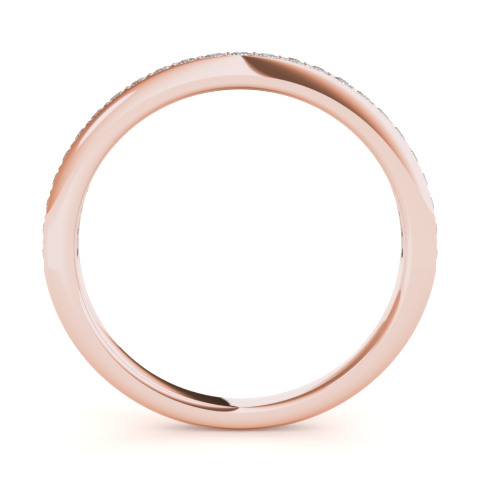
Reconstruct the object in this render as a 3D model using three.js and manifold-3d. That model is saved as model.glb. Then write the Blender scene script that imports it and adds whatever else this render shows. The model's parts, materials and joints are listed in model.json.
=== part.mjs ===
// Wedding band: a half-eternity ring of rose gold, set over its upper half with round brilliants.
// Units are millimetres and +Z is up. The ring stands on its rim, and its finger hole runs along Y.
// The origin is the lowest point of the rim, midway across the band.
import * as THREE from 'three';
import { mergeVertices } from 'three/addons/utils/BufferGeometryUtils.js';
import Module from 'manifold-3d';

// Finger hole and walls
const FINGER_DIAMETER = 17.3;
const SHOULDER_WALL = 1.84; // where the stones end, and all along the setting
const BASE_WALL = 1.54; // at the foot of the ring
const BASE_WIDTH = 1.68; // across the band at the foot, narrower than along the setting
const COMFORT_DEPTH = 0.46; // how far out from the hole the rounding of its edges reaches
const COMFORT_RUN = 0.4; // how far in from the side face it reaches
const SHOULDER_DEPTH = 1.15; // how far down the side face the outer rounding reaches
const SHOULDER_RUN = 0.54; // how far in from the side face the outer rounding reaches

// Stones: round brilliants, each in a seat of its own
const STONE_COUNT = 25;
const STONE_DIAMETER = 1.1;
const STONE_GAP = 0.265; // between neighbouring girdles
const TABLE_SHARE = 0.57; // table width over stone diameter
const STAR_SHARE = 0.5; // how far the star facets reach from the table to the girdle
const LOWER_SHARE = 0.77; // how far the lower girdle facets reach from the girdle to the culet
const CROWN_ANGLE = 34.5; // degrees
const PAVILION_ANGLE = 40.75; // degrees
const GIRDLE_THICKNESS = 0.035;
const FACET_FOLD = 8; // the cut's mains go round this many times

// Setting
const SEAT_CLEARANCE = 0.02; // between a stone and the metal all round it
const SIDE_RIM = 0.1; // metal between a seat and the edge of the set surface
const END_LAND = 0.08; // metal between the last seat and the step up to the shank
const HEAD_STEP = 0.09; // how far the set surface lies below the plain shank
const BACK_HOLE_DIAMETER = 0.56; // drilled from each seat through to the finger hole
const BEAD_DIAMETER = 0.5;
const BEAD_LAP = 0.03; // how far a bead reaches over a girdle
const BEAD_RISE = 0.04; // above the set surface
const BEAD_SINK = 0.02; // below the set surface
const BEAD_TO_CROWN = 0.02; // between a bead's underside and the crown that it reaches over

// Fineness of the surfaces
const RING_SEGMENTS = 72;
const ROUNDING_STEPS = 3;
const BEAD_SEGMENTS = 8;

const fingerRadius = FINGER_DIAMETER / 2;
const rimRadius = fingerRadius + SHOULDER_WALL;
const headRadius = rimRadius - HEAD_STEP;
const crownTan = Math.tan(THREE.MathUtils.degToRad(CROWN_ANGLE));
const pavilionTan = Math.tan(THREE.MathUtils.degToRad(PAVILION_ANGLE));
const stone = stoneSizes();
const underBead = BEAD_SINK + BEAD_TO_CROWN + BEAD_LAP * crownTan; // set surface to a girdle's top
const girdleRadius = headRadius - underBead - stone.halfGirdle; // ring's centre to mid girdle
const pitch = 2 * Math.asin((STONE_DIAMETER + STONE_GAP) / 2 / girdleRadius);
const seatRadius = stone.radius + SEAT_CLEARANCE;
const rimAngle = Math.asin((SHOULDER_DEPTH - HEAD_STEP) / SHOULDER_DEPTH);
const rimInset = SHOULDER_RUN * (1 - Math.cos(rimAngle)); // from the side face to the set surface
const halfWidth = seatRadius + SIDE_RIM + rimInset;
const lastStoneAngle = ((STONE_COUNT - 1) / 2) * pitch;
const headEnd = lastStoneAngle + Math.asin((seatRadius + END_LAND) / girdleRadius);
const beadReach = stone.radius + BEAD_DIAMETER / 2 - BEAD_LAP; // stone's axis to bead's axis
const beadOffset = Math.sqrt(beadReach ** 2 - ((STONE_DIAMETER + STONE_GAP) / 2) ** 2);

const roseGold = new THREE.MeshStandardMaterial({ color: 0xe8b7a0, roughness: 0.12, metalness: 1 });
const diamond = new THREE.MeshStandardMaterial({ color: 0xeef4f6, roughness: 0.02, metalness: 0 });

const wasm = await Module();
wasm.setup();

const ring = new THREE.Group();
ring.position.z = fingerRadius + BASE_WALL;
ring.add(bandMesh());
for (let i = 0; i < STONE_COUNT; i += 1) {
  ring.add(stoneMesh(i));
}

export default ring;

// Radii and heights of one brilliant, with z = 0 halfway up its girdle and +z towards its table.
function stoneSizes() {
  const radius = STONE_DIAMETER / 2;
  const halfGirdle = GIRDLE_THICKNESS / 2;
  const tableRadius = radius * TABLE_SHARE;
  const starRadius = tableRadius + (radius - tableRadius) * STAR_SHARE;
  const lowerRadius = radius * (1 - LOWER_SHARE);
  const foldCos = Math.cos(Math.PI / FACET_FOLD);
  const tableZ = halfGirdle + (radius - tableRadius) * crownTan;
  const culetZ = -halfGirdle - radius * pavilionTan;
  return {
    radius,
    halfGirdle,
    tableRadius,
    starRadius,
    lowerRadius,
    tableZ,
    culetZ,
    starZ: tableZ - (starRadius * foldCos - tableRadius) * crownTan,
    lowerZ: culetZ + lowerRadius * foldCos * pavilionTan,
  };
}

// The angle of stone i from the top of the ring, towards +X.
function stoneAngle(i) {
  return i * pitch - lastStoneAngle;
}

// Places a shape whose axis is +Z at an angle round the ring, a radius from its centre and y across.
function placeOnRing(geometry, angle, radius, y = 0) {
  const move = new THREE.Matrix4().makeRotationY(angle);
  move.multiply(new THREE.Matrix4().makeTranslation(0, y, radius));
  return geometry.applyMatrix4(move);
}

// A turned shape: profile points are [radius, z], and the axis is +Z.
function turned(points, segments) {
  const profile = points.map(([radius, z]) => new THREE.Vector2(radius, z));
  return new THREE.LatheGeometry(profile, segments).rotateX(Math.PI / 2);
}

// Points of a quarter ellipse round a centre, from one angle to another.
function ellipsePoints(centreR, centreY, semiR, semiY, from, to) {
  return Array.from({ length: ROUNDING_STEPS + 1 }, (_, step) => {
    const angle = from + ((to - from) * step) / ROUNDING_STEPS;
    return [centreR + semiR * Math.cos(angle), centreY + semiY * Math.sin(angle)];
  });
}

// How far the shank has thinned at an angle from the top: 0 along the setting, then up to 1 at the
// foot on a sine.
function taperAt(angle) {
  const past = Math.max(Math.abs(angle) - headEnd, 0) / (Math.PI - headEnd);
  return Math.sin((past * Math.PI) / 2);
}

// The plain ring: flat sides, a comfort-fit bore and a domed rim, thinner and narrower at the foot.
function plainRing() {
  const innerR = fingerRadius + COMFORT_DEPTH;
  const innerY = halfWidth - COMFORT_RUN;
  const outerR = rimRadius - SHOULDER_DEPTH;
  const outerY = halfWidth - SHOULDER_RUN;
  const half = [
    ...ellipsePoints(innerR, innerY, COMFORT_DEPTH, COMFORT_RUN, Math.PI, Math.PI / 2),
    ...ellipsePoints(outerR, outerY, SHOULDER_DEPTH, SHOULDER_RUN, Math.PI / 2, 0),
  ];
  const otherHalf = half.map(([radius, y]) => [radius, -y]).reverse();
  const profile = [...otherHalf, ...half, otherHalf[0]];
  const points = profile.map(([radius, y]) => new THREE.Vector2(radius, y));
  const geometry = new THREE.LatheGeometry(points.reverse(), RING_SEGMENTS);
  const place = geometry.getAttribute('position');
  for (let i = 0; i < place.count; i += 1) {
    const x = place.getX(i);
    const z = place.getZ(i);
    const radius = Math.hypot(x, z);
    const taper = taperAt(Math.atan2(x, z));
    const wall = (radius - fingerRadius) * THREE.MathUtils.lerp(1, BASE_WALL / SHOULDER_WALL, taper);
    const scale = (fingerRadius + wall) / radius;
    const width = THREE.MathUtils.lerp(1, BASE_WIDTH / 2 / halfWidth, taper);
    place.setXYZ(i, x * scale, place.getY(i) * width, z * scale);
  }
  return geometry;
}

// What is cut from the ring to make the set surface: all above it, from one end to the other.
function headCutter() {
  const outer = rimRadius + SHOULDER_WALL;
  const shape = new THREE.Shape();
  const start = Math.PI / 2 - headEnd;
  const end = Math.PI / 2 + headEnd;
  shape.absarc(0, 0, outer, start, end, false);
  shape.absarc(0, 0, headRadius, end, start, true);
  const depth = 4 * halfWidth;
  const curveSegments = Math.round((RING_SEGMENTS * headEnd) / Math.PI);
  const geometry = new THREE.ExtrudeGeometry(shape, { depth, curveSegments, bevelEnabled: false });
  return geometry.translate(0, 0, -depth / 2).rotateX(Math.PI / 2);
}

// What is drilled and cut for one stone: its seat, and the back hole down to the finger hole.
function seatCutter() {
  const backRadius = BACK_HOLE_DIAMETER / 2;
  const drop = SEAT_CLEARANCE * Math.hypot(1, pavilionTan);
  const coneZ = (radius) => stone.culetZ + radius * pavilionTan - drop;
  const profile = [
    [0, -SHOULDER_WALL],
    [backRadius, -SHOULDER_WALL],
    [backRadius, coneZ(backRadius)],
    [seatRadius, coneZ(seatRadius)],
    [seatRadius, SHOULDER_WALL],
    [0, SHOULDER_WALL],
  ];
  return turned(profile, 2 * FACET_FOLD);
}

// One bead, z = 0 at the set surface: a low dome whose edge reaches over the stones beside it.
function beadShape() {
  const radius = BEAD_DIAMETER / 2;
  const profile = [
    [0, -BEAD_SINK],
    [radius, -BEAD_SINK],
    [radius, 0],
    [0, BEAD_RISE],
  ];
  return turned(profile, BEAD_SEGMENTS);
}

// A closed three.js geometry as a solid that can be joined and cut.
function solid(geometry) {
  const bare = geometry.clone();
  bare.deleteAttribute('normal');
  bare.deleteAttribute('uv');
  const merged = mergeVertices(bare);
  const vertProperties = Float32Array.from(merged.getAttribute('position').array);
  const triVerts = Uint32Array.from(merged.getIndex().array);
  return new wasm.Manifold(new wasm.Mesh({ numProp: 3, vertProperties, triVerts }));
}

// A solid as a three.js geometry.
function geometryOf(body) {
  const mesh = body.getMesh();
  const geometry = new THREE.BufferGeometry();
  geometry.setAttribute('position', new THREE.BufferAttribute(mesh.vertProperties, 3));
  geometry.setIndex(new THREE.BufferAttribute(mesh.triVerts, 1));
  geometry.computeVertexNormals();
  return geometry;
}

// The casting: shank, seats and the shared beads between and beyond the stones, in one piece.
function bandMesh() {
  let band = solid(plainRing()).subtract(solid(headCutter()));
  for (let i = 0; i < STONE_COUNT; i += 1) {
    band = band.subtract(solid(placeOnRing(seatCutter(), stoneAngle(i), girdleRadius)));
  }
  for (let i = 0; i <= STONE_COUNT; i += 1) {
    for (const y of [-beadOffset, beadOffset]) {
      band = band.add(solid(placeOnRing(beadShape(), stoneAngle(i) - pitch / 2, headRadius, y)));
    }
  }
  const mesh = new THREE.Mesh(geometryOf(band), roseGold);
  mesh.name = 'band';
  return mesh;
}

// A ring of points round the stone's axis, the first at a number of half steps from +x.
function facetRing(radius, z, count, halfSteps) {
  return Array.from({ length: count }, (_, i) => {
    const angle = ((i + halfSteps / 2) * 2 * Math.PI) / count;
    return new THREE.Vector3(radius * Math.cos(angle), radius * Math.sin(angle), z);
  });
}

// A round brilliant of 57 facets: table, stars, kites and halves above, mains and halves below.
function brilliant() {
  const table = facetRing(stone.tableRadius, stone.tableZ, FACET_FOLD, 0);
  const stars = facetRing(stone.starRadius, stone.starZ, FACET_FOLD, 1);
  const top = facetRing(stone.radius, stone.halfGirdle, 2 * FACET_FOLD, 0);
  const bottom = facetRing(stone.radius, -stone.halfGirdle, 2 * FACET_FOLD, 0);
  const lower = facetRing(stone.lowerRadius, stone.lowerZ, FACET_FOLD, 1);
  const culet = new THREE.Vector3(0, 0, stone.culetZ);
  const corners = [];
  for (let i = 0; i < FACET_FOLD; i += 1) {
    const next = (i + 1) % FACET_FOLD;
    const main = 2 * i;
    const nextMain = 2 * next;
    if (i > 0 && i < FACET_FOLD - 1) {
      corners.push(table[0], table[i], table[next]);
    }
    corners.push(table[i], stars[i], table[next]);
    corners.push(table[i], top[main], stars[i], table[next], stars[i], top[nextMain]);
    corners.push(stars[i], top[main], top[main + 1], stars[i], top[main + 1], top[nextMain]);
    corners.push(lower[i], bottom[main + 1], bottom[main]);
    corners.push(lower[i], bottom[nextMain], bottom[main + 1]);
    corners.push(culet, lower[i], bottom[main], culet, bottom[nextMain], lower[i]);
    for (const j of [main, main + 1]) {
      const after = (j + 1) % (2 * FACET_FOLD);
      corners.push(top[j], bottom[j], bottom[after], top[j], bottom[after], top[after]);
    }
  }
  const geometry = new THREE.BufferGeometry().setFromPoints(corners);
  geometry.computeVertexNormals();
  return geometry;
}

// Stone i, counted from the -X end of the setting over the top.
function stoneMesh(i) {
  const mesh = new THREE.Mesh(brilliant(), diamond);
  const angle = stoneAngle(i);
  mesh.name = `diamond_${String(i + 1).padStart(2, '0')}`;
  mesh.rotation.y = angle;
  mesh.position.set(girdleRadius * Math.sin(angle), 0, girdleRadius * Math.cos(angle));
  return mesh;
}
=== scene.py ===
"""The looks of a half-eternity wedding band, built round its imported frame.

The frame's stones keep their shape and get a diamond finish. The casting is made again as one fine
surface with a drilled seat under every stone, and its shared beads as a second piece. Lengths in the
classes are millimetres, angles are radians measured from the top of the ring towards +X, and every
mesh is written in metres.
"""

import json
import logging
import math
from dataclasses import dataclass
from enum import Enum

import bmesh
import bpy
import numpy as np
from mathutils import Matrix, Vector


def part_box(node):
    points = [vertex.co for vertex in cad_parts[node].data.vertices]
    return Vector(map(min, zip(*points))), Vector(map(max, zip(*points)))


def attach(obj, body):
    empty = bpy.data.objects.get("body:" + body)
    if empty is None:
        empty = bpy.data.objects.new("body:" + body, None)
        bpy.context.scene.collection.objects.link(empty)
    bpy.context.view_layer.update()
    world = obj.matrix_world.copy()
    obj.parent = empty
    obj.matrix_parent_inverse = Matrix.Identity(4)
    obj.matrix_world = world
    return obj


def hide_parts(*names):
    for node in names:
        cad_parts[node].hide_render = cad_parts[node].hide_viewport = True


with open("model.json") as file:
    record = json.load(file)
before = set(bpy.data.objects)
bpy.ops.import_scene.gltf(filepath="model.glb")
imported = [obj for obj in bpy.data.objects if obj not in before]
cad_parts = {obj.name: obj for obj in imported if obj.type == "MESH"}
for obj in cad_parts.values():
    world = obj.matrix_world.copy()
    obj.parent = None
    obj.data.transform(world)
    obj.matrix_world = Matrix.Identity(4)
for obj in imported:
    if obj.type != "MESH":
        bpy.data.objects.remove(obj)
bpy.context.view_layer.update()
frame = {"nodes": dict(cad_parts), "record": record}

MM = 0.001
Colour = tuple[float, float, float]
Stop = tuple[float, Colour]
log = logging.getLogger("wedding_band")


class Slot(Enum):
    """The record's material slots."""

    GOLD = "rose_gold"
    STONE = "diamond"


# ---------------------------------------------------------------- node trees


class NodeTree:
    """A shader node tree, with short calls for adding and joining nodes."""

    def __init__(self, tree: bpy.types.NodeTree) -> None:
        """Empties the tree.

        Args:
            tree: the material's or world's node tree.
        """
        self.tree = tree
        tree.nodes.clear()

    def add(self, kind: str, **settings: object) -> bpy.types.Node:
        """Adds a node and sets its properties.

        Args:
            kind: the node's type name.
            settings: property names and values.

        Returns:
            The new node.
        """
        node = self.tree.nodes.new(kind)
        for name, value in settings.items():
            setattr(node, name, value)
        return node

    def link(self, source: bpy.types.NodeSocket, target: bpy.types.NodeSocket) -> None:
        """Joins an output socket to an input socket."""
        self.tree.links.new(source, target)

    def math(self, operation: str, first: object, second: object = None) -> bpy.types.NodeSocket:
        """Adds a math node.

        Args:
            operation: the node's operation.
            first: a socket or a number.
            second: a socket, a number or nothing.

        Returns:
            The result's socket.
        """
        node = self.add("ShaderNodeMath", operation=operation)
        for socket, value in zip(node.inputs, (first, second)):
            if isinstance(value, bpy.types.NodeSocket):
                self.link(value, socket)
            elif value is not None:
                socket.default_value = value
        return node.outputs[0]

    def mix(self, share: object, first: object, second: object) -> bpy.types.NodeSocket:
        """Adds a colour mix.

        Args:
            share: a socket or a number, 0 for the first colour and 1 for the second.
            first: a socket or an RGB tuple.
            second: a socket or an RGB tuple.

        Returns:
            The mixed colour's socket.
        """
        node = self.add("ShaderNodeMix", data_type="RGBA")
        sockets = (node.inputs[0], node.inputs[6], node.inputs[7])
        for socket, value in zip(sockets, (share, first, second)):
            if isinstance(value, bpy.types.NodeSocket):
                self.link(value, socket)
            elif isinstance(value, tuple):
                socket.default_value = (*value, 1.0)
            else:
                socket.default_value = value
        return node.outputs[2]

    def smooth_range(self, value: bpy.types.NodeSocket, low: float, high: float) -> bpy.types.NodeSocket:
        """Maps low..high to 0..1 on a smooth step.

        Args:
            value: the socket to map.
            low: the value that gives 0.
            high: the value that gives 1.

        Returns:
            The mapped value's socket.
        """
        node = self.add("ShaderNodeMapRange", interpolation_type="SMOOTHSTEP")
        self.link(value, node.inputs["Value"])
        node.inputs["From Min"].default_value = low
        node.inputs["From Max"].default_value = high
        return node.outputs["Result"]

    def ramp(self, value: bpy.types.NodeSocket, stops: list[Stop]) -> bpy.types.NodeSocket:
        """Colours a value by stops, with straight blends between them.

        Args:
            value: the socket to colour.
            stops: pairs of value and colour, the values rising.

        Returns:
            The colour's socket.
        """
        first, last = stops[0][0], stops[-1][0]
        node = self.add("ShaderNodeValToRGB")
        share = self.math("MULTIPLY", self.math("SUBTRACT", value, first), 1 / (last - first))
        self.link(share, node.inputs[0])
        elements = node.color_ramp.elements
        for _ in range(len(stops) - len(elements)):
            elements.new(0.5)
        for element, (at, colour) in zip(elements, stops):
            element.position = (at - first) / (last - first)
            element.color = (*colour, 1.0)
        return node.outputs["Color"]


# ---------------------------------------------------------------- finishes


@dataclass(frozen=True)
class RoseGold:
    """Mirror-polished rose gold with the faint haze and hairlines of hand polishing."""

    name: str = "polished_rose_gold"
    colour: Colour = (0.84, 0.645, 0.578)
    least_roughness: float = 0.02
    most_roughness: float = 0.05
    haze_scale: float = 420.0
    hairline_scale: float = 5200.0
    hairline_depth: float = 0.02
    bump_distance: float = 0.000002

    def material(self) -> bpy.types.Material:
        """Builds the node material.

        Returns:
            The material.
        """
        mat = bpy.data.materials.new(self.name)
        mat.use_nodes = True
        tree = NodeTree(mat.node_tree)
        shader = tree.add("ShaderNodeBsdfPrincipled")
        shader.inputs["Metallic"].default_value = 1.0
        shader.inputs["Base Color"].default_value = (*self.colour, 1.0)
        place = tree.add("ShaderNodeTexCoord").outputs["Object"]
        haze = tree.add("ShaderNodeTexNoise")
        haze.inputs["Scale"].default_value = self.haze_scale
        tree.link(place, haze.inputs["Vector"])
        spread = tree.add("ShaderNodeMapRange")
        spread.inputs["To Min"].default_value = self.least_roughness
        spread.inputs["To Max"].default_value = self.most_roughness
        tree.link(haze.outputs["Fac"], spread.inputs["Value"])
        tree.link(spread.outputs["Result"], shader.inputs["Roughness"])
        hairlines = tree.add("ShaderNodeTexNoise")
        hairlines.inputs["Scale"].default_value = self.hairline_scale
        tree.link(place, hairlines.inputs["Vector"])
        bump = tree.add("ShaderNodeBump")
        bump.inputs["Strength"].default_value = self.hairline_depth
        bump.inputs["Distance"].default_value = self.bump_distance
        tree.link(hairlines.outputs["Fac"], bump.inputs["Height"])
        tree.link(bump.outputs["Normal"], shader.inputs["Normal"])
        output = tree.add("ShaderNodeOutputMaterial")
        tree.link(shader.outputs[0], output.inputs["Surface"])
        return mat


@dataclass(frozen=True)
class Diamond:
    """Clear, colourless, polished diamond."""

    name: str = "clear_diamond"
    colour: Colour = (0.99, 0.985, 0.98)
    ior: float = 2.42
    clarity: float = 0.82

    def material(self) -> bpy.types.Material:
        """Builds the node material.

        Returns:
            The material.
        """
        mat = bpy.data.materials.new(self.name)
        mat.use_nodes = True
        tree = NodeTree(mat.node_tree)
        shader = tree.add("ShaderNodeBsdfPrincipled")
        shader.inputs["Base Color"].default_value = (*self.colour, 1.0)
        shader.inputs["Roughness"].default_value = 0.0
        shader.inputs["IOR"].default_value = self.ior
        shader.inputs["Transmission Weight"].default_value = self.clarity
        output = tree.add("ShaderNodeOutputMaterial")
        tree.link(shader.outputs[0], output.inputs["Surface"])
        return mat


@dataclass(frozen=True)
class PaleFloor:
    """Matt white tabletop."""

    name: str = "pale_floor"
    colour: Colour = (0.86, 0.86, 0.86)

    def material(self) -> bpy.types.Material:
        """Builds the node material.

        Returns:
            The material.
        """
        mat = bpy.data.materials.new(self.name)
        mat.use_nodes = True
        tree = NodeTree(mat.node_tree)
        shader = tree.add("ShaderNodeBsdfDiffuse")
        shader.inputs["Color"].default_value = (*self.colour, 1.0)
        output = tree.add("ShaderNodeOutputMaterial")
        tree.link(shader.outputs[0], output.inputs["Surface"])
        return mat


# ---------------------------------------------------------------- surfaces


class Surface:
    """Quads gathered from grids of points, which then become one closed mesh."""

    def __init__(self) -> None:
        """Starts with no points and no faces."""
        self.points: list[np.ndarray] = []
        self.faces: list[np.ndarray] = []
        self.count = 0

    def grid(self, points: np.ndarray, wrap: bool = False) -> None:
        """Adds a grid: each face joins a point to the next in its row and to the row below.

        Args:
            points: rows x columns x 3, in metres.
            wrap: whether the last column joins the first.
        """
        rows, columns, _ = points.shape
        index = np.arange(rows * columns).reshape(rows, columns) + self.count
        if wrap:
            index = np.concatenate([index, index[:, :1]], axis=1)
        corners = (index[:-1, :-1], index[:-1, 1:], index[1:, 1:], index[1:, :-1])
        self.faces.append(np.stack(corners, axis=-1).reshape(-1, 4))
        self.points.append(points.reshape(-1, 3))
        self.count += rows * columns

    def piece(self, name: str, weld: float, sharp_angle: float) -> bpy.types.Object:
        """Makes the object: welds the grids' shared edges and turns all faces outwards.

        Args:
            name: the object's name.
            weld: points nearer than this many metres become one.
            sharp_angle: edges folded by more than this, in radians, stay crisp.

        Returns:
            The new object, at the origin.
        """
        mesh = bpy.data.meshes.new(name)
        mesh.from_pydata(np.concatenate(self.points), [], np.concatenate(self.faces))
        work = bmesh.new()
        work.from_mesh(mesh)
        bmesh.ops.remove_doubles(work, verts=work.verts, dist=weld)
        bmesh.ops.recalc_face_normals(work, faces=work.faces)
        work.to_mesh(mesh)
        work.free()
        mesh.shade_smooth()
        mesh.set_sharp_from_angle(angle=sharp_angle)
        piece = bpy.data.objects.new(name, mesh)
        bpy.context.scene.collection.objects.link(piece)
        return piece


def smooth_step(value: np.ndarray) -> np.ndarray:
    """3v^2 - 2v^3 with v held to 0..1.

    Args:
        value: the array to ease.

    Returns:
        The eased array.
    """
    held = np.clip(value, 0.0, 1.0)
    return held * held * (3.0 - 2.0 * held)


# ---------------------------------------------------------------- sizes


@dataclass
class RingSizes:
    """The ring's driving sizes, with those that the frame shows read from it."""

    finger_radius: float = 8.65
    shoulder_wall: float = 1.84
    base_wall: float = 1.54
    base_width: float = 1.68
    comfort_depth: float = 0.46
    comfort_run: float = 0.4
    bore_crown: float = 0.03
    shoulder_depth: float = 1.15
    shoulder_run: float = 0.54
    stone_count: int = 25
    stone_gap: float = 0.265
    seat_clearance: float = 0.02
    side_rim: float = 0.1
    end_land: float = 0.08
    head_step: float = 0.09
    back_hole_radius: float = 0.28
    pavilion_angle: float = 40.75
    girdle_half: float = 0.0175
    bead_radius: float = 0.25
    bead_lap: float = 0.03
    bead_rise: float = 0.085
    bead_point: float = 1.6

    def __post_init__(self) -> None:
        """Reads the ring's centre, the band's width and a stone's heights from the frame."""
        hole = frame["record"]["physics"]["openings"][0]["box_m"]
        self.centre_z = (hole[0][2] + hole[1][2]) / 2 / MM
        self.half_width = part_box("band")[1].y / MM
        low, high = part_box(f"diamond_{(self.stone_count + 1) // 2:02d}")
        self.stone_radius = (high.y - low.y) / 2 / MM
        self.culet_radius_at = low.z / MM - self.centre_z
        self.pavilion_slope = math.tan(math.radians(self.pavilion_angle))
        self.girdle_radius = (
            self.culet_radius_at + self.stone_radius * self.pavilion_slope + self.girdle_half
        )
        self.rim_radius = self.finger_radius + self.shoulder_wall
        self.head_radius = self.rim_radius - self.head_step
        self.seat_radius = self.stone_radius + self.seat_clearance
        self.spacing = 2 * self.stone_radius + self.stone_gap
        self.pitch = 2 * math.asin(self.spacing / 2 / self.girdle_radius)
        self.last_stone = (self.stone_count - 1) / 2 * self.pitch
        end_reach = self.seat_radius + self.end_land
        self.head_end = self.last_stone + math.asin(end_reach / self.girdle_radius)
        self.set_half_width = self.seat_radius + self.side_rim

    def stone_angles(self) -> np.ndarray:
        """The stones' angles, evenly spaced about the top."""
        return np.arange(self.stone_count) * self.pitch - self.last_stone

    def on_ring(self, angle: np.ndarray, radius: np.ndarray, y: np.ndarray) -> np.ndarray:
        """Points from ring coordinates: x = r sin a, z = centre + r cos a.

        Args:
            angle: angle from the top, in radians.
            radius: distance from the ring's axis, in mm.
            y: distance across the band, in mm.

        Returns:
            The points in metres, with a last axis of three.
        """
        angle, radius, y = np.broadcast_arrays(angle, radius, y)
        x = radius * np.sin(angle)
        z = self.centre_z + radius * np.cos(angle)
        return np.stack([x, y, z], axis=-1) * MM

    def round_axis(self, centre: float, across: np.ndarray, y: np.ndarray, up: np.ndarray) -> np.ndarray:
        """Points from coordinates about a line that points out of the ring at one angle.

        Args:
            centre: the line's angle.
            across: distance from the line along the ring, in mm.
            y: distance from the line across the band, in mm.
            up: distance from the ring's axis along the line, in mm.

        Returns:
            The points in metres.
        """
        across, y, up = np.broadcast_arrays(across, y, up)
        return self.on_ring(centre + np.arctan2(across, up), np.hypot(across, up), y)


# ---------------------------------------------------------------- the casting


@dataclass
class Casting:
    """The band: a swept shank, and one cell of metal round each stone's seat."""

    sizes: RingSizes
    side_steps: int = 12
    rim_round: float = 0.025
    bright_cut_depth: float = 0.05
    rail_share: float = 0.3
    cut_share: float = 0.35
    hole_break: float = 0.04
    dome_steps: int = 14
    flat_steps: int = 3
    comfort_steps: int = 14
    crown_run: float = math.radians(30)
    round_steps: int = 4
    step_rows: int = 5
    patch_rows: int = 4
    step_angle: float = math.radians(0.5)
    shank_step: float = math.radians(1.25)
    weld: float = 1e-7
    sharp_angle: float = math.radians(28)

    def ellipse(self, angle: np.ndarray) -> tuple[np.ndarray, np.ndarray]:
        """The outer rounding: r = rc + a sin t, y = yc + b cos t.

        Args:
            angle: t, 0 at the side face and a quarter turn at the crest.

        Returns:
            Radius and y.
        """
        s = self.sizes
        radius = s.rim_radius - s.shoulder_depth + s.shoulder_depth * np.sin(angle)
        return radius, s.half_width - s.shoulder_run + s.shoulder_run * np.cos(angle)

    def __post_init__(self) -> None:
        """Works out where the set surface's edge meets the outer rounding."""
        s = self.sizes
        self.edge_y = s.set_half_width - self.rim_round
        self.edge_turn = math.acos((self.edge_y - s.half_width + s.shoulder_run) / s.shoulder_run)
        drop = s.head_step + self.rim_round
        self.round_turn = math.asin((s.shoulder_depth - drop) / s.shoulder_depth)
        self.bore_y = s.half_width - s.comfort_run
        turn = np.arange(4 * self.side_steps) * (math.tau / (4 * self.side_steps)) - 0.75 * math.pi
        self.circle = np.stack([np.cos(turn), np.sin(turn)], axis=-1)
        self.square = self.circle / np.abs(self.circle).max(axis=-1, keepdims=True)

    def side(self, shank: bool) -> np.ndarray:
        """Half the section, from the set surface's edge down the side to the bore.

        The rim is rounded on a quadratic curve, the outer rounding is an ellipse, the side is a
        straight line and the comfort edge is a quarter ellipse.

        Args:
            shank: whether the crest is the plain shank's dome rather than the set surface.

        Returns:
            Points of radius and y, the first at the edge and the last on the bore.
        """
        s = self.sizes
        share = np.linspace(0, 1, self.round_steps + 1)[:-1]
        if shank:
            top = np.stack(self.ellipse(self.edge_turn + (self.round_turn - self.edge_turn) * share), -1)
        else:
            start = np.array([s.head_radius, self.edge_y])
            middle = np.array([s.head_radius, s.set_half_width])
            end = np.array(self.ellipse(self.round_turn))
            u = share[:, None]
            top = (1 - u) ** 2 * start + 2 * u * (1 - u) * middle + u**2 * end
        dome = np.stack(self.ellipse(np.linspace(self.round_turn, 0, self.dome_steps + 1)), -1)
        low = s.finger_radius + s.comfort_depth
        flat_radius = np.linspace(s.rim_radius - s.shoulder_depth, low, self.flat_steps + 1)[1:-1]
        flat = np.stack([flat_radius, np.full_like(flat_radius, s.half_width)], -1)
        turn = np.linspace(math.pi / 2, math.pi, self.comfort_steps + 1)
        comfort_r = low + s.comfort_depth * np.cos(turn)
        comfort_y = self.bore_y + s.comfort_run * np.sin(turn)
        return np.concatenate([top, dome, flat, np.stack([comfort_r, comfort_y], -1)])

    def crest(self, shank: bool) -> np.ndarray:
        """The section's top from one edge to the other: flat where set, domed on the shank.

        Args:
            shank: whether the crest is the plain shank's dome.

        Returns:
            Points of radius and y, from -y to +y.
        """
        s = self.sizes
        corner = np.linspace(-math.pi / 4, math.pi / 4, self.side_steps + 1)
        if not shank:
            return np.stack([np.full_like(corner, s.head_radius), self.edge_y * np.tan(corner)], -1)
        share = np.linspace(-1, 1, self.side_steps + 1)
        outer = np.clip((np.abs(share) - 0.5) * 2, 0, 1)
        radius, y = self.ellipse(math.pi / 2 + (self.edge_turn - math.pi / 2) * outer)
        inner = np.clip(np.abs(share) * 2, 0, 1)
        return np.stack([radius, np.sign(share) * y * inner], -1)

    def bore(self) -> np.ndarray:
        """The section's bottom, from +y to -y along the bore.

        Returns:
            Points of radius and y.
        """
        corner = np.linspace(math.pi / 4, -math.pi / 4, self.side_steps + 1)
        radius = np.full_like(corner, self.sizes.finger_radius)
        return np.stack([radius, self.bore_y * np.tan(corner)], -1)

    def section(self, shank: bool) -> np.ndarray:
        """The whole section as one loop: crest, +y side, bore, -y side.

        Args:
            shank: whether the crest is the plain shank's dome.

        Returns:
            Points of radius and y, the last not repeating the first.
        """
        side = self.side(shank)
        mirrored = (side * np.array([1, -1]))[::-1]
        return np.concatenate([self.crest(shank)[:-1], side[:-1], self.bore()[:-1], mirrored[:-1]])

    def taper(self, angle: np.ndarray) -> np.ndarray:
        """How far the shank has drawn down: sin(pi/2 p), p from 0 at the setting to 1 at the foot.

        Args:
            angle: angle from the top, 0 to a whole turn.

        Returns:
            The share, 0 to 1.
        """
        s = self.sizes
        from_top = np.minimum(angle, math.tau - angle)
        past = np.maximum(from_top - s.head_end, 0) / (math.pi - s.head_end)
        return np.sin(past * math.pi / 2)

    def crowned(self, loop: np.ndarray, share: np.ndarray) -> np.ndarray:
        """Radius with the bore crowned: r + c (y/yb)^2 (1 - (r - rb)/d), fading up the comfort edge.

        Args:
            loop: section points of radius and y.
            share: how much of the crown applies.

        Returns:
            The radii.
        """
        s = self.sizes
        across = np.minimum(np.abs(loop[..., 1]) / self.bore_y, 1) ** 2
        fade = np.clip(1 - (loop[..., 0] - s.finger_radius) / s.comfort_depth, 0, 1)
        return loop[..., 0] + s.bore_crown * share * across * fade

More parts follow.
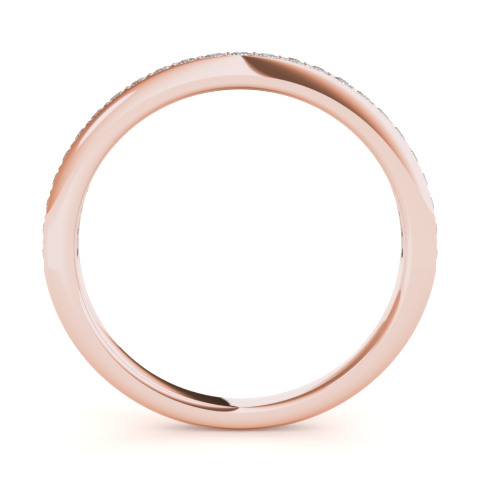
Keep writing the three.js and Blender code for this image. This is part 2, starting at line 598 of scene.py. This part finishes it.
    def shank(self, surface: Surface) -> None:
        """Sweeps the section from one end of the setting to the other, round the foot of the ring.

        The section turns from set to domed on a smooth step just past each end.

        Args:
            surface: where the grid is added.
        """
        s = self.sizes
        start, end = s.head_end, math.tau - s.head_end
        ramp = np.linspace(0, self.step_angle, self.step_rows)
        count = round((end - start - 2 * self.step_angle) / self.shank_step)
        plain = np.linspace(start + self.step_angle, end - self.step_angle, count + 1)[1:-1]
        angle = np.concatenate([start + ramp, plain, end - ramp[::-1]])
        near = np.minimum(angle - start, end - angle)
        share = smooth_step(near / self.step_angle)[:, None, None]
        loop = (1 - share) * self.section(False) + share * self.section(True)
        taper = self.taper(angle)[:, None]
        radius = self.crowned(loop, smooth_step(near / self.crown_run)[:, None])
        wall = 1 + (s.base_wall / s.shoulder_wall - 1) * taper
        width = 1 + (s.base_width / 2 / s.half_width - 1) * taper
        radius = s.finger_radius + (radius - s.finger_radius) * wall
        surface.grid(s.on_ring(angle[:, None], radius, loop[..., 1] * width), wrap=True)

    def outline(
        self, centre: float, left: float, right: float, half_y: float
    ) -> tuple[np.ndarray, np.ndarray]:
        """A cell's four edges as one loop, point for point with the circle inside it.

        Args:
            centre: the stone's angle.
            left: the angle from the stone to the cell's edge towards -X.
            right: the same towards +X.
            half_y: half the cell's width across the band.

        Returns:
            Angle and y of each point.
        """
        across = self.square[:, 0]
        angle = centre + np.where(across > 0, right * across, left * across)
        return angle, half_y * self.square[:, 1]

    def bed(self, surface: Surface, centre: float, left: float, right: float) -> None:
        """The set surface round one seat: a bright cut falls to the seat from a flat rail.

        Each row is a mix of the seat's circle and the cell's outline.

        Args:
            surface: where the grid is added.
            centre: the stone's angle.
            left: the angle to the cell's edge towards -X.
            right: the same towards +X.
        """
        s = self.sizes
        low = s.head_radius - self.bright_cut_depth
        across = s.seat_radius * self.circle[:, 0]
        inner_angle = centre + np.arctan2(across, np.sqrt(low**2 - across**2))
        inner_y = s.seat_radius * self.circle[:, 1]
        outer_angle, outer_y = self.outline(centre, left, right, self.edge_y)
        share = np.array([0, self.cut_share, 1 - self.rail_share, 1])[:, None]
        height = np.clip(share / (1 - self.rail_share), 0, 1)
        angle = (1 - share) * inner_angle + share * outer_angle
        y = (1 - share) * inner_y + share * outer_y
        surface.grid(s.on_ring(angle, low + self.bright_cut_depth * height, y), wrap=True)

    def seat(self, surface: Surface, centre: float) -> None:
        """One stone's seat and the hole behind it: a straight wall, a cone, and a drilled hole.

        Args:
            surface: where the grid is added.
            centre: the stone's angle.
        """
        s = self.sizes
        drop = s.seat_clearance * math.hypot(1, s.pavilion_slope)
        cone_up = s.culet_radius_at - drop
        low = s.head_radius - self.bright_cut_depth
        rings = [
            (s.seat_radius, None, low),
            (s.seat_radius, cone_up + s.seat_radius * s.pavilion_slope, None),
            (s.back_hole_radius, cone_up + s.back_hole_radius * s.pavilion_slope, None),
            (s.back_hole_radius, None, s.finger_radius + self.hole_break),
            (s.back_hole_radius + self.hole_break, None, s.finger_radius),
        ]
        rows = []
        for radius, up, on_radius in rings:
            across, y = radius * self.circle[:, 0], radius * self.circle[:, 1]
            height = np.sqrt(on_radius**2 - across**2) if up is None else np.full_like(across, up)
            rows.append(s.round_axis(centre, across, y, height))
        surface.grid(np.stack(rows), wrap=True)

    def bore_patch(self, surface: Surface, centre: float, left: float, right: float) -> None:
        """The bore round one back hole, each row a mix of the hole's circle and the cell's outline.

        Args:
            surface: where the grid is added.
            centre: the stone's angle.
            left: the angle to the cell's edge towards -X.
            right: the same towards +X.
        """
        s = self.sizes
        radius = s.back_hole_radius + self.hole_break
        across = radius * self.circle[:, 0]
        inner_angle = centre + np.arctan2(across, np.sqrt(s.finger_radius**2 - across**2))
        outer_angle, outer_y = self.outline(centre, left, right, self.bore_y)
        share = np.linspace(0, 1, self.patch_rows)[:, None]
        angle = (1 - share) * inner_angle + share * outer_angle
        y = (1 - share) * radius * self.circle[:, 1] + share * outer_y
        surface.grid(s.on_ring(angle, s.finger_radius, y), wrap=True)

    def cell_sides(self, surface: Surface, centre: float, left: float, right: float) -> None:
        """The two sides of one cell, swept from its first edge to its last.

        Args:
            surface: where the grids are added.
            centre: the stone's angle.
            left: the angle to the cell's edge towards -X.
            right: the same towards +X.
        """
        across = np.tan(np.linspace(-math.pi / 4, math.pi / 4, self.side_steps + 1))
        angle = centre + np.where(across > 0, right * across, left * across)
        side = self.side(False)
        for sign in (1, -1):
            points = self.sizes.on_ring(angle[:, None], side[None, :, 0], sign * side[None, :, 1])
            surface.grid(points)

    def build(self) -> bpy.types.Object:
        """Builds the casting as one closed surface.

        Returns:
            The piece.
        """
        s = self.sizes
        surface = Surface()
        self.shank(surface)
        for i, centre in enumerate(s.stone_angles()):
            left = s.head_end - s.last_stone if i == 0 else s.pitch / 2
            right = s.head_end - s.last_stone if i == s.stone_count - 1 else s.pitch / 2
            self.bed(surface, centre, left, right)
            self.seat(surface, centre)
            self.bore_patch(surface, centre, left, right)
            self.cell_sides(surface, centre, left, right)
        return surface.piece("band_casting", self.weld, self.sharp_angle)

    def dress(self, piece: bpy.types.Object, finish: bpy.types.Material) -> None:
        """Gives the piece its finish and its body, and hides the frame's band, which it replaces."""
        piece.data.materials.append(finish)
        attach(piece, "root")
        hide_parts("band")


@dataclass
class SharedBeads:
    """The beads between and beyond the stones, in a front and a back row."""

    sizes: RingSizes
    sink: float = 0.06
    segments: int = 20
    rows: int = 8
    weld: float = 1e-7
    sharp_angle: float = math.radians(60)

    def bead(self, surface: Surface, centre: float, y: float) -> None:
        """One bead: r = rb sin^p t, h = hb cos t, on a short post that ends inside the metal.

        Args:
            surface: where the grid is added.
            centre: the bead's angle.
            y: its place across the band.
        """
        s = self.sizes
        turn = np.linspace(0, math.tau, self.segments, endpoint=False)
        lift = np.linspace(0, math.pi / 2, self.rows + 1)
        height = s.bead_rise + self.sink
        radius = np.concatenate([s.bead_radius * np.sin(lift) ** s.bead_point, [s.bead_radius, 0]])
        base = s.head_radius - self.sink
        top = base + height * np.cos(lift)
        up = np.concatenate([top, [base - self.sink, base - self.sink]])
        across = radius[:, None] * np.cos(turn)
        side = y + radius[:, None] * np.sin(turn)
        surface.grid(s.round_axis(centre, across, side, up[:, None]), wrap=True)

    def build(self) -> bpy.types.Object:
        """Builds all the beads as one piece of separate closed surfaces.

        Returns:
            The piece.
        """
        s = self.sizes
        reach = s.stone_radius + s.bead_radius - s.bead_lap
        offset = math.sqrt(reach**2 - (s.spacing / 2) ** 2)
        surface = Surface()
        angles = np.append(s.stone_angles() - s.pitch / 2, s.last_stone + s.pitch / 2)
        for centre in angles:
            for y in (-offset, offset):
                self.bead(surface, centre, y)
        return surface.piece("shared_beads", self.weld, self.sharp_angle)

    def dress(self, piece: bpy.types.Object, finish: bpy.types.Material) -> None:
        """Gives the piece its finish and its body, and hides the frame's band."""
        piece.data.materials.append(finish)
        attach(piece, "root")
        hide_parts("band")


@dataclass
class StoneRow:
    """The brilliants, which keep the frame's facets."""

    sizes: RingSizes

    def dress(self, finish: bpy.types.Material) -> None:
        """Gives every stone its finish.

        Args:
            finish: the diamond material.
        """
        for i in range(self.sizes.stone_count):
            stone = frame["nodes"][f"diamond_{i + 1:02d}"]
            stone.material_slots[0].material = finish


# ---------------------------------------------------------------- studio


@dataclass(frozen=True)
class Card:
    """One rectangle round the studio, in degrees of turn and rise, with soft edges."""

    turns: tuple[float, float]
    rises: tuple[float, float]
    soft: float
    fade: float
    colour: Colour

    def share(
        self, tree: NodeTree, turn: bpy.types.NodeSocket, rise: bpy.types.NodeSocket
    ) -> bpy.types.NodeSocket:
        """The product of four steps, one for each edge.

        Args:
            tree: the world's node tree.
            turn: degrees from -Y towards +X.
            rise: degrees above the horizon.

        Returns:
            A socket that is 1 on the card and 0 away from it.
        """
        first = tree.smooth_range(turn, self.turns[0] - self.soft, self.turns[0])
        last = tree.smooth_range(turn, self.turns[1] + self.soft, self.turns[1])
        low = tree.smooth_range(rise, self.rises[0] - self.fade, self.rises[0])
        high = tree.smooth_range(rise, self.rises[1] + self.fade, self.rises[1])
        across, up = tree.math("MULTIPLY", first, last), tree.math("MULTIPLY", low, high)
        return tree.math("MULTIPLY", across, up)


@dataclass
class Studio:
    """Floor, light and camera."""

    sizes: RingSizes
    floor_half: float = 600.0
    camera_distance: float = 66.0
    elevation: float = math.radians(14.65)
    lens: float = 93.05
    aim_lift: float = 0.547
    soft_left: Colour = (1.34, 1.15, 1.08)
    soft_right: Colour = (2.04, 1.76, 1.66)
    stone_fill: float = 0.85
    stone_level: float = 1.75
    seam: float = 1.7
    low_rise: float = 5.0
    high_rise: float = 42.0
    horizon: float = -3.0
    box_turn: float = math.radians(-41.5)
    box_rise: float = math.radians(22)
    box_radius: float = math.radians(10.5)
    box_soft: float = math.radians(2)
    white: Colour = (1.06, 1.2, 1.33)
    umber: Colour = (0.2, 0.11, 0.08)

    def left_wall_low(self) -> list[Stop]:
        """The left wall near the floor, by degrees from -Y towards +X: white, brown, peach, white."""
        return [
            (-180, (1.03, 1.15, 1.25)),
            (-162, (1.03, 1.15, 1.25)),
            (-158, (0.95, 0.82, 0.75)),
            (-154, (0.75, 0.5, 0.38)),
            (-147, (0.5, 0.27, 0.18)),
            (-125, (0.76, 0.45, 0.32)),
            (-75, (0.77, 0.43, 0.29)),
            (-60, (0.84, 0.5, 0.36)),
            (-45, (0.9, 0.65, 0.54)),
            (-30, (0.955, 0.845, 0.79)),
            (-18, (0.99, 1.0, 1.01)),
            (-5, (1.05, 1.17, 1.25)),
            (2, self.white),
        ]

    def left_wall_high(self) -> list[Stop]:
        """The left wall overhead, by degrees from -Y towards +X: darker than near the floor."""
        return [
            (-180, (1.03, 1.15, 1.25)),
            (-162, (1.03, 1.15, 1.25)),
            (-158, (0.95, 0.82, 0.75)),
            (-154, (0.7, 0.43, 0.31)),
            (-147, (0.38, 0.2, 0.13)),
            (-140, (0.32, 0.17, 0.11)),
            (-115, (0.39, 0.21, 0.13)),
            (-90, (0.39, 0.21, 0.13)),
            (-72, (0.46, 0.26, 0.17)),
            (-60, (0.62, 0.34, 0.23)),
            (-50, (0.83, 0.48, 0.35)),
            (-40, (0.92, 0.62, 0.5)),
            (-30, (0.93, 0.77, 0.69)),
            (-15, (1.0, 0.99, 1.0)),
            (-5, (1.05, 1.17, 1.25)),
            (2, self.white),
        ]

    def right_wall(self) -> list[Stop]:
        """The right wall, by degrees from -Y towards +X: umber, white, then a dark flag behind."""
        return [
            (0, (0.86, 0.55, 0.42)),
            (1.8, (0.84, 0.5, 0.36)),
            (2.6, self.umber),
            (6, (0.21, 0.12, 0.08)),
            (10, (0.28, 0.16, 0.11)),
            (14, (0.46, 0.26, 0.17)),
            (18, (0.73, 0.41, 0.28)),
            (22, (0.88, 0.57, 0.45)),
            (28, (0.945, 0.79, 0.72)),
            (35, (1.0, 1.0, 1.0)),
            (45, self.white),
            (150, self.white),
            (158, (0.95, 0.8, 0.71)),
            (161, (0.84, 0.52, 0.36)),
            (163.5, (0.36, 0.2, 0.13)),
            (167, (0.1, 0.06, 0.04)),
            (177, (0.05, 0.03, 0.02)),
            (177.2, (1.03, 1.15, 1.25)),
            (180, (1.03, 1.15, 1.25)),
        ]

    def floor_with_painted_shade(self) -> list[Stop]:
        """The floor as the metal sees it below the horizon, by degrees of rise: dark under the ring,
        which is painted contact shadow, then a painted peach glow of the gold, fading to the floor's own
        pale white.
        """
        return [
            # Painted contact shadow straight down, a painted peach glow of the gold, then the floor's
            # white near the horizon.
            (-90, (0.2, 0.11, 0.08)),
            (-78, (0.6, 0.32, 0.21)),
            (-70, (0.88, 0.57, 0.44)),
            (-60, (0.91, 0.68, 0.58)),
            (-45, (0.95, 0.83, 0.77)),
            (-30, (0.98, 0.95, 0.94)),
            (-15, (1.0, 1.02, 1.04)),
            (0, (1.0, 0.99, 0.99)),
        ]

    def cards(self) -> list[Card]:
        """The pale sheet on the floor in front, and a brown patch behind the foot that is painted
        shadow: the ring's contact shadow on the floor as the metal sees it.
        """
        pale, brown = (1.03, 1.14, 1.21), (0.3, 0.17, 0.11)
        return [
            Card((-56, -12), (-17, -11), 8, 5, pale),
            # Painted shadow: the brown patch behind the foot stands in for the ring's contact shadow on
            # the floor.
            Card((175, 195), (-62, -20), 12, 8, brown),
            Card((-195, -175), (-62, -20), 12, 8, brown),
        ]

    def floor(self) -> bpy.types.Object:
        """A square floor under the ring.

        Returns:
            The floor.
        """
        half = self.floor_half * MM
        corners = np.array([(-half, -half, 0), (half, -half, 0), (half, half, 0), (-half, half, 0)])
        mesh = bpy.data.meshes.new("floor")
        mesh.from_pydata(corners, [], [(0, 1, 2, 3)])
        floor = bpy.data.objects.new("floor", mesh)
        bpy.context.scene.collection.objects.link(floor)
        mesh.materials.append(PaleFloor().material())
        # The metal doesn't see this floor; it sees the world's painted floor, with painted contact
        # shadow, instead.
        floor.visible_glossy = False
        return floor

    def light(self) -> None:
        """A soft studio whose tone changes by direction, and by what kind of ray meets it.

        The metal sees the walls, the soft box and the cards, and below the horizon a floor with painted
        contact shadow and a painted glow of the gold in place of the real floor. The floor is lit by an
        even level that is stronger from the right. Rays that leave a stone see mostly white, and the
        camera sees white.
        """
        world = bpy.data.worlds.new("studio")
        bpy.context.scene.world = world
        world.use_nodes = True
        tree = NodeTree(world.node_tree)
        direction = tree.add("ShaderNodeTexCoord").outputs["Generated"]
        parts = tree.add("ShaderNodeSeparateXYZ")
        tree.link(direction, parts.inputs[0])
        forward = tree.math("MULTIPLY", parts.outputs["Y"], -1.0)
        turn = tree.math("DEGREES", tree.math("ARCTAN2", parts.outputs["X"], forward))
        rise = tree.math("DEGREES", tree.math("ARCSINE", parts.outputs["Z"]))
        height = tree.smooth_range(rise, self.low_rise, self.high_rise)
        low, high = tree.ramp(turn, self.left_wall_low()), tree.ramp(turn, self.left_wall_high())
        left = tree.mix(height, low, high)
        box = np.array([
            math.sin(self.box_turn) * math.cos(self.box_rise),
            -math.cos(self.box_turn) * math.cos(self.box_rise),
            math.sin(self.box_rise),
        ])
        dot = tree.add("ShaderNodeVectorMath", operation="DOT_PRODUCT")
        tree.link(direction, dot.inputs[0])
        dot.inputs[1].default_value = box
        edge = (math.cos(self.box_radius + self.box_soft), math.cos(self.box_radius - self.box_soft))
        left = tree.mix(tree.smooth_range(dot.outputs["Value"], *edge), left, self.white)
        right = tree.ramp(turn, self.right_wall())
        walls = tree.mix(tree.math("GREATER_THAN", turn, self.seam), left, right)
        above = tree.math("GREATER_THAN", rise, self.horizon)
        # Below the horizon the metal sees a painted floor: painted contact shadow and glow under the
        # ring.
        lit = tree.mix(above, tree.ramp(rise, self.floor_with_painted_shade()), walls)
        # The cards include painted contact shadow behind the foot.
        for card in self.cards():
            lit = tree.mix(card.share(tree, turn, rise), lit, card.colour)
        path = tree.add("ShaderNodeLightPath")
        through = tree.mix(self.stone_fill, lit, (self.stone_level, self.stone_level, self.stone_level))
        seen = tree.mix(path.outputs["Is Transmission Ray"], lit, through)
        side = tree.smooth_range(parts.outputs["X"], -1.0, 1.0)
        soft = tree.mix(side, self.soft_left, self.soft_right)
        seen = tree.mix(path.outputs["Is Diffuse Ray"], seen, soft)
        seen = tree.mix(path.outputs["Is Camera Ray"], seen, (1.0, 1.0, 1.0))
        background = tree.add("ShaderNodeBackground")
        tree.link(seen, background.inputs["Color"])
        output = tree.add("ShaderNodeOutputWorld")
        tree.link(background.outputs[0], output.inputs["Surface"])

    def camera(self) -> bpy.types.Object:
        """A long lens a little above the ring, looking along +Y through the finger hole.

        Returns:
            The camera.
        """
        data = bpy.data.cameras.new("camera")
        data.lens = self.lens
        data.clip_start = 0.001
        camera = bpy.data.objects.new("camera", data)
        bpy.context.scene.collection.objects.link(camera)
        back = np.array([0.0, -math.cos(self.elevation), math.sin(self.elevation)])
        aim = np.array([0.0, 0.0, self.sizes.centre_z + self.aim_lift])
        camera.location = (aim + back * self.camera_distance) * MM
        camera.rotation_euler = (math.pi / 2 - self.elevation, 0.0, 0.0)
        bpy.context.scene.camera = camera
        return camera


def main() -> None:
    """Builds the ring and its studio, in order."""
    logging.basicConfig(level=logging.INFO, format="%(name)s: %(message)s")
    bpy.context.scene.view_settings.view_transform = "Standard"
    sizes = RingSizes()
    gold = RoseGold().material()
    casting = Casting(sizes)
    band = casting.build()
    casting.dress(band, gold)
    log.info("%s: %d faces", band.name, len(band.data.polygons))
    beads = SharedBeads(sizes)
    row = beads.build()
    beads.dress(row, gold)
    log.info("%s: %d faces", row.name, len(row.data.polygons))
    StoneRow(sizes).dress(Diamond().material())
    log.info("stones: %d", sizes.stone_count)
    studio = Studio(sizes)
    studio.floor()
    studio.light()
    studio.camera()
    log.info("studio ready")


if __name__ == "__main__":
    main()
